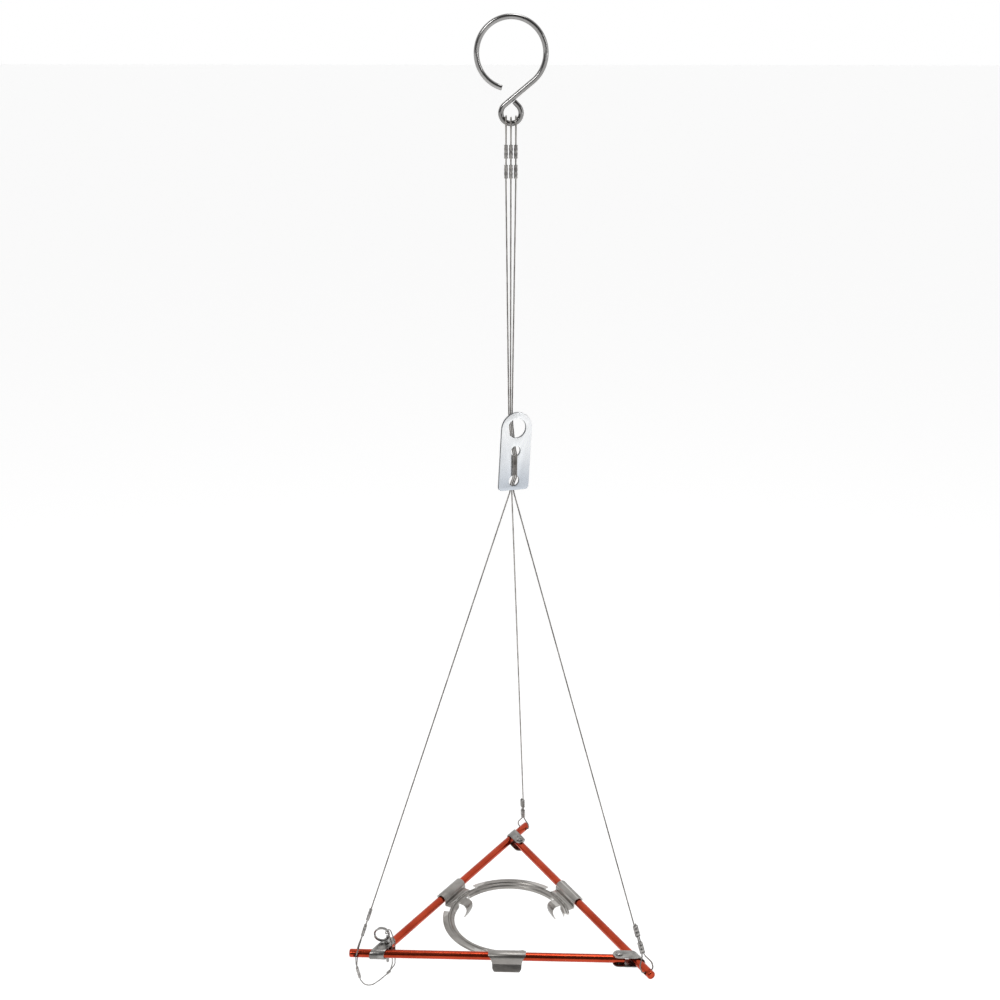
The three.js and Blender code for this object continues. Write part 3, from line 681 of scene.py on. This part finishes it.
# ------------------------------------------------------------------ release pin and split ring
prof = [(0, -13), (0.35, -12.95), (0.75, -12.6), (1.1, -12.0), (1.2, -11.6), (1.2, 4.4), (1.8, 4.4), (1.9, 4.5), (1.9, 4.9), (1.8, 5.0), (0, 5.0)]
pin = lathe("release_pin_shank", prof, 36, Matrix.Translation(PIN))
lug = [(-1.6, 4.8), (1.6, 4.8)] + arc(0, EYELET, 2.9, -25, 205, 36)
lg = prism("lug", lug, -0.4, 0.4, basis(Vector((0, 1, 0)), UP, Vector((1, 0, 0)), PIN))
lg = cut(lg, prism("c", circle(0, EYELET, 1.7, 32), -2, 2, basis(Vector((0, 1, 0)), UP, Vector((1, 0, 0)), PIN)))
lg = soften(lg, 0.15, 2)
pin = cut(pin, lg, "UNION")
place(pin, "pin", M_PIN, "pin_steel", "release_pin")

v, f = [], []
sec = rounded([(-0.64, -0.36), (0.64, -0.36), (0.64, 0.36), (-0.64, 0.36)], 0.16, 3)
steps = 220
for i in range(steps + 1):
    th = 35 + 655 * i / steps
    s = min(1, max(0, (th - 330) / 60))
    y = -0.38 + 0.76 * s * s * (3 - 2 * s)
    a = math.radians(th + 150)
    out_ = Vector((math.cos(a), 0, math.sin(a)))
    edge = 1.0 if 2 < i < steps - 2 else 0.82
    for q, h in sec:
        v.append(split_at + out_ * (SPLIT_R + q * edge) + Vector((0, y + h * edge, 0)))
m_ = len(sec)
for i in range(steps):
    for k in range(m_):
        a, b = i * m_ + k, i * m_ + (k + 1) % m_
        f.append((a, b, b + m_, a + m_))
f.append(tuple(reversed(range(m_))))
f.append(tuple(steps * m_ + k for k in range(m_)))
place(raw("split_ring_coil", v, f), "pull_ring", M_PIN, "pin_steel", "split_ring", sharp=60)

# ------------------------------------------------------------------ cradle: one stamping
OFF = Matrix.Translation((0, 0, FRAME_Z))
section = [
    (50, -3), (50, -4.3), (49.2, -4.3), (49.2, -3.8), (46.6, -3.8), (45.9, -4.8), (44.0, -4.8), (43.4, -4.0), (42.7, -4.0),
    (42.2, -4.5), (42.2, -6.5), (41.4, -6.5), (41.4, -4.1), (42.3, -3.2), (43.8, -3.2), (44.4, -4.0), (45.4, -4.0), (46.2, -3.0),
]
section = rounded(section, 0.42, 4)
ring = lathe("cradle_stamping", section, 240, OFF, loop=True)


def sector(r0, r1, a0, a1, z0, z1):
    n = max(6, math.ceil(abs(a1 - a0) / 2.5))
    return prism("c", arc(0, 0, r1, a0, a1, n) + arc(0, 0, r0, a1, a0, n), z0, z1, OFF)


ring = cut(ring, sector(30, 60, 286, 368, -12, 3))
for a in (30, 150, 270):
    ring = cut(ring, sector(46.0, 60, a - 24, a + 24, -12, 3))
    ring = cut(ring, sector(39, 42.35, a - 9, a + 9, -12, -3.9))
ring = soften(ring, 0.1, 2, 40)
pieces_ = []
for tag, ang in (("front", 270), ("left", 150), ("right", 30)):
    s = Vector((math.cos(math.radians(ang)), math.sin(math.radians(ang)), 0))
    t = Vector((-s.y, s.x, 0))
    Z = Vector((0, 0, FRAME_Z))
    pl, fr_ = basis(s, UP, s.cross(UP), Z), basis(t, UP, t.cross(UP), Z)
    ax, drop, ri, ro = H / 3, -0.5, 3.8, 4.6
    arch = [(43, -3.0), (ax - ro - 0.6, -3.0), (ax - ro, -2.4)] + arc(ax, drop, ro, 180, 0, 36) + [
        (ax + ro, -3.5), (ax + ro + 2.4, -8.6), (ax + ro + 1.65, -8.9), (ax + ri, -3.7)] + arc(ax, drop, ri, 0, 180, 32) + [
        (ax - ri, -3.2), (ax - ri - 0.7, -3.8), (43, -3.8)]
    clip = prism("clip", rounded(arch, 0.45, 4), -13.5, 13.5, pl)
    for sg in (1, -1):
        shape = [(sg * 13.7, 3.0), (sg * 11.6, 0.4), (sg * 10.7, -2.6), (sg * 10.4, -6.4), (sg * 9.4, -8.2), (sg * 7.4, -9.2), (sg * 7.4, -12), (sg * 20, -12), (sg * 20, 3.0)]
        clip = cut(clip, prism("c", rounded(shape, 1.0, 4), ax, 70, fr_))
    clip = cut(clip, prism("c", circle(0, 0, 45.75, 240), -12, 3, OFF))
    clip = soften(clip, 0.16, 2, 40)
    line = [(43.1, -3.75), (42.2, -4.3), (40.2, -4.4), (38.4, -4.5), (36.8, -5.5), (35.9, -7.2), (35.8, -9.2), (36.4, -11.4), (37.8, -14.2), (39.4, -16.9)]
    if tag == "front":
        line = [(43.0, -3.9), (42.2, -5.5), (40.6, -6.2), (38.6, -6.4), (36.9, -7.2), (36.0, -8.8), (35.9, -10.6), (36.4, -12.4), (37.8, -14.9), (39.4, -17.2)]
    fine = filleted([[x, y, 0, 1.6] for x, y in line], 8)
    fine = [(p.x, p.y) for p in fine]

    def offset(k):
        out = []
        for i, p in enumerate(fine):
            a_, b_ = fine[max(i - 1, 0)], fine[min(i + 1, len(fine) - 1)]
            dx, dy = b_[0] - a_[0], b_[1] - a_[1]
            l_ = math.hypot(dx, dy)
            out.append((p[0] - dy / l_ * k, p[1] + dx / l_ * k))
        return out
    fg = prism("finger", offset(0.4) + list(reversed(offset(-0.4))), -6, 6, pl)
    taper = [(-4.2, 0), (-4.2, -6), (-3.4, -10), (-1.9, -18), (1.9, -18), (3.4, -10), (4.2, -6), (4.2, 0)]
    fg = cut(fg, prism("c", rounded(taper, 1.2, 5), 0, 60, fr_), "INTERSECT")
    fg = soften(fg, 0.16, 2, 40)
    ring = cut(ring, clip, "UNION")
    ring = cut(ring, fg, "UNION")
place(ring, "cradle", M_CRADLE, "cradle_steel", "cradle_ring", *[f"{a}_{b}" for a in ("front", "left", "right") for b in ("clip", "finger")], sharp=34)

# ------------------------------------------------------------------ adjuster plate
PF = basis(ea, eb, ec, PLATE_AT)
hw, hb, r_ = PLATE_W / 2, -PLATE_H / 2, 2.6
ht = PLATE_H / 2 - hw
shape = arc(-hw + r_, hb + r_, r_, 180, 270, 10) + arc(hw - r_, hb + r_, r_, 270, 360, 10) + arc(0, ht, hw, 0, 180, 64)
pl_ = prism("adjuster_plate_sheet", shape, -PLATE_T / 2, PLATE_T / 2, PF)
for hy, hr in ((16.2, 6.75), (0.3, 3.5), (-20.5, 3.85)):
    pl_ = cut(pl_, prism("c", circle(0, hy, hr, 56), -3, 3, PF))
pl_ = place(soften(pl_, 0.34, 3), "adjuster", M_PLATE, "plate_aluminium", "adjuster_plate", sharp=50)
# painted shade: the plate's edge faces between the two faces get a dark colour, drawn as a dark line round the rim
pl_.data.materials.append(M_EDGE_PAINTED_SHADE)
for poly in pl_.data.polygons:
    if abs(poly.normal.dot(ec)) < 0.95:
        poly.material_index = 1

# ------------------------------------------------------------------ ferrules, pressed on
def ferrule(name, frm, axis, wide, length, hw_, ht_, body, mat=None, node_name=None, presses=3):
    z = axis.normalized()
    x = (wide - z * wide.dot(z)).normalized()
    y = z.cross(x)
    m = basis(x, y, z, frm)
    rnd = random.Random(name)
    sides, rows = 32, 40
    v, f = [], []
    for i in range(rows + 1):
        q = i / rows
        e = min(1, min(q, 1 - q) * length / 0.35)
        endr = 0.8 + 0.2 * math.sqrt(max(0, 1 - (1 - e) ** 2))
        press = 0.0
        for k in range(presses):
            c = (k + 0.5) / presses
            press = max(press, math.exp(-((q - c) * length / 0.75) ** 2))
        for k in range(sides):
            a = 2 * math.pi * k / sides
            ca, sa = math.cos(a), math.sin(a)
            ex = 2 / 2.6
            px = hw_ * endr * math.copysign(abs(ca) ** ex, ca) * (1 + 0.015 * press)
            py = ht_ * endr * math.copysign(abs(sa) ** ex, sa) * (1 - 0.13 * press) + 0.02 * rnd.uniform(-1, 1)
            v.append(m @ Vector((px, py, q * length)))
    for i in range(rows):
        for k in range(sides):
            a, b = i * sides + k, i * sides + (k + 1) % sides
            f.append((a, b, b + sides, a + sides))
    f.append(tuple(reversed(range(sides))))
    f.append(tuple(rows * sides + k for k in range(sides)))
    place(raw(name, v, f), body, mat or M_FERR, "ferrule_aluminium", node_name, sharp=60)


for name, k, free, held, body in [("left", -1, "left", "right", "front"), ("back", 0, "back", "left", "left"), ("right", 1, "right", "back", "hanger")]:
    _, info = rope_points(k, free, held)
    Y = Vector((0, 1, 0))
    ferrule(f"ferrule_{name}_upper_a_pressed", Vector((info["x"], 0, info["f1"] - FERRULE_L)), UP, Y, FERRULE_L, 1.9, 1.25, "hanger", node_name=f"ferrule_{name}_upper_a")
    ferrule(f"ferrule_{name}_upper_b_pressed", Vector((info["x"], 0, info["f2b"])), UP, Y, FERRULE_L, 1.9, 1.25, "hanger", node_name=f"ferrule_{name}_upper_b")
    ferrule(f"ferrule_{name}_lower_a_pressed", info["hole"] + info["rope"] * info["low1"], info["rope"], info["across"], FERRULE_L, 1.9, 1.25, body, node_name=f"ferrule_{name}_lower_a")
    ferrule(f"ferrule_{name}_lower_b_pressed", info["hole"] + info["rope"] * info["low2"], info["rope"], info["across"], FERRULE_L, 1.9, 1.25, body, node_name=f"ferrule_{name}_lower_b")
hole_ = CORNER["left"] + Vector((-ROPE_HOLE, 0, 0))
ax_ = Vector((1.9, 0, -8.3)).normalized()
ferrule("lanyard_ferrule_pressed", Vector((hole_.x, hole_.y, FRAME_Z - 12.3)), ax_, Vector((0, 1, 0)), FERRULE_L, 1.6, 1.05, "front", node_name="lanyard_ferrule")
c0_, c1_ = Vector((-87.6, -49.6, FRAME_Z - 19.6)), Vector((-85.3, -49.3, FRAME_Z - 17.3))
ca_ = (c1_ - c0_).normalized()
ferrule("lanyard_crimp_pressed", c0_ + ca_ * 0.2, ca_, Vector((0, 1, 0)), 2.8, 1.5, 1.0, "front", node_name="lanyard_crimp", presses=1)

# ------------------------------------------------------------------ studio
low = min(SIZE0[0][2], SIZE0[1][2])
bpy.ops.mesh.primitive_plane_add(size=60, location=(0, 0, low - 0.35))
floor = bpy.context.object
floor.name = "floor"
fm, fnt, fb = material("floor_white")
fb.inputs["Base Color"].default_value = (0.9, 0.9, 0.9, 1)
fb.inputs["Roughness"].default_value = 0.95
fb.inputs["Specular IOR Level"].default_value = 0.1
fb.inputs["Emission Color"].default_value = (1, 1, 1, 1)
fb.inputs["Emission Strength"].default_value = 0.42
floor.data.materials.append(fm)


def area(name, loc, target, size, power, size_y=None):
    d = bpy.data.lights.new(name, "AREA")
    d.energy = power
    d.size = size
    if size_y:
        d.shape = "RECTANGLE"
        d.size_y = size_y
    o = bpy.data.objects.new(name, d)
    bpy.context.scene.collection.objects.link(o)
    o.location = loc
    o.rotation_mode = "QUATERNION"
    o.rotation_quaternion = (Vector(target) - Vector(loc)).to_track_quat("-Z", "Y")
    return o


area("key", (-0.85, -1.25, 0.85), (0, 0, -0.45), 0.35, 8, 0.8)
area("fill", (1.35, -0.8, 0.25), (0, 0, -0.4), 0.22, 3.2, 0.9)
area("top", (0.15, 0.15, 1.1), (0, 0, -0.5), 0.5, 5)
# a white backdrop behind the object and a dark room in front of it
world = bpy.context.scene.world or bpy.data.worlds.new("world")
bpy.context.scene.world = world
world.use_nodes = True
wn = world.node_tree
wb = wn.nodes.get("Background")
wtc = wn.nodes.new("ShaderNodeTexCoord")
wsx = wn.nodes.new("ShaderNodeSeparateXYZ")
wn.links.new(wtc.outputs["Generated"], wsx.inputs[0])
wmr = wn.nodes.new("ShaderNodeMapRange")
wmr.interpolation_type = "SMOOTHSTEP"
wmr.inputs["From Min"].default_value = -0.55
wmr.inputs["From Max"].default_value = 0.45
wmr.inputs["To Min"].default_value = 0.11
wmr.inputs["To Max"].default_value = 1.0
wn.links.new(wsx.outputs["Y"], wmr.inputs["Value"])
wb.inputs["Color"].default_value = (1, 1, 1, 1)
# seen directly it is the same plain white from every side
wlp = wn.nodes.new("ShaderNodeLightPath")
wmx = wn.nodes.new("ShaderNodeMath")
wmx.operation = "MAXIMUM"
wn.links.new(wmr.outputs["Result"], wmx.inputs[0])
wn.links.new(wlp.outputs["Is Camera Ray"], wmx.inputs[1])
wn.links.new(wmx.outputs[0], wb.inputs["Strength"])
bpy.context.scene.view_settings.view_transform = "Standard"
